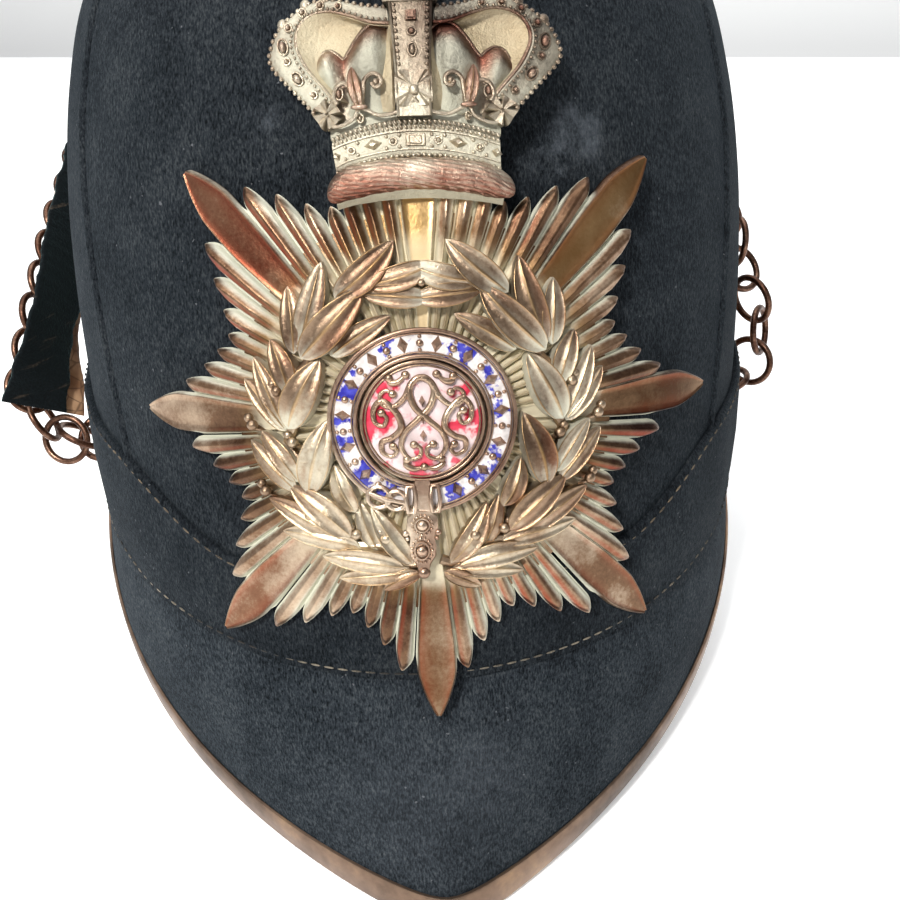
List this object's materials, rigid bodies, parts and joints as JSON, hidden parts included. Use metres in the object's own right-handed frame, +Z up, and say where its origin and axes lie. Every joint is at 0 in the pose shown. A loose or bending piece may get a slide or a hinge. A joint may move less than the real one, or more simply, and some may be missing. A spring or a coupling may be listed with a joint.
{
  "type": "cloth helmet with front plate and chin chain",
  "caption": "Worn dark blue cloth helmet with front and back peaks, a tarnished star-shaped front plate with a crown, and a ring chin chain on a velvet-lined strap.",
  "frame": {"origin": "under the middle of the bounding box, on the surface that the helmet rests on", "axes": "+X towards the wearer's left, +Y towards the back of the helmet, +Z up"},
  "size_m": [0.2356, 0.295, 0.1993],
  "materials": {
    "blue_cloth": "napped wool cloth with lint and dust",
    "black_leather": "worn patent leather",
    "binding_metal": "dull brown tarnish",
    "plate_metal": "tarnished, with pale verdigris in the grooves",
    "crown_metal": "tarnished, worn bright on the relief",
    "chain_metal": "brown tarnish",
    "blue_enamel": "chipped blue and white enamel under a raised belt",
    "red_enamel": "worn red and white enamel under raised scrolls",
    "tan_leather": "dry and cracked",
    "black_velvet": "worn velvet pile"
  },
  "bodies": {
    "root": {"back_binding": "black_leather", "back_hook": "chain_metal", "back_peak": "blue_cloth", "chain_ring_01": "chain_metal", "chain_ring_02": "chain_metal", "chain_ring_03": "chain_metal", "chain_ring_04": "chain_metal", "chain_ring_05": "chain_metal", "chain_ring_06": "chain_metal", "chain_ring_07": "chain_metal", "chain_ring_08": "chain_metal", "chain_ring_09": "chain_metal", "chain_ring_10": "chain_metal", "chain_ring_11": "chain_metal", "chain_ring_12": "chain_metal", "chain_ring_13": "chain_metal", "chain_ring_14": "chain_metal", "chain_ring_15": "chain_metal", "chain_ring_16": "chain_metal", "chain_ring_17": "chain_metal", "chain_ring_18": "chain_metal", "chain_ring_19": "chain_metal", "chain_ring_20": "chain_metal", "chain_ring_21": "chain_metal", "chain_ring_22": "chain_metal", "chain_ring_23": "chain_metal", "chain_ring_24": "chain_metal", "chain_ring_25": "chain_metal", "chain_ring_26": "chain_metal", "chain_ring_27": "chain_metal", "chain_ring_28": "chain_metal", "chain_ring_29": "chain_metal", "chain_ring_30": "chain_metal", "chain_ring_31": "chain_metal", "chain_ring_32": "chain_metal", "cloth_band": "blue_cloth", "crown_shell": "blue_cloth", "front_binding": "binding_metal", "front_peak": "blue_cloth", "garter_belt": "blue_enamel", "left_ring_1": "chain_metal", "left_ring_2": "chain_metal", "left_ring_3": "chain_metal", "left_ring_4": "chain_metal", "plate_centre": "red_enamel", "plate_crown": "crown_metal", "plate_star": "plate_metal", "plate_wreath": "plate_metal", "right_ring_1": "chain_metal", "right_ring_2": "chain_metal", "right_ring_3": "chain_metal", "right_ring_4": "chain_metal", "right_ring_5": "chain_metal", "right_ring_6": "chain_metal", "rosette_left": "chain_metal", "rosette_right": "chain_metal", "strap_leather": "tan_leather", "strap_velvet": "black_velvet", "top_cap": "chain_metal"}
  },
  "joints": []
}
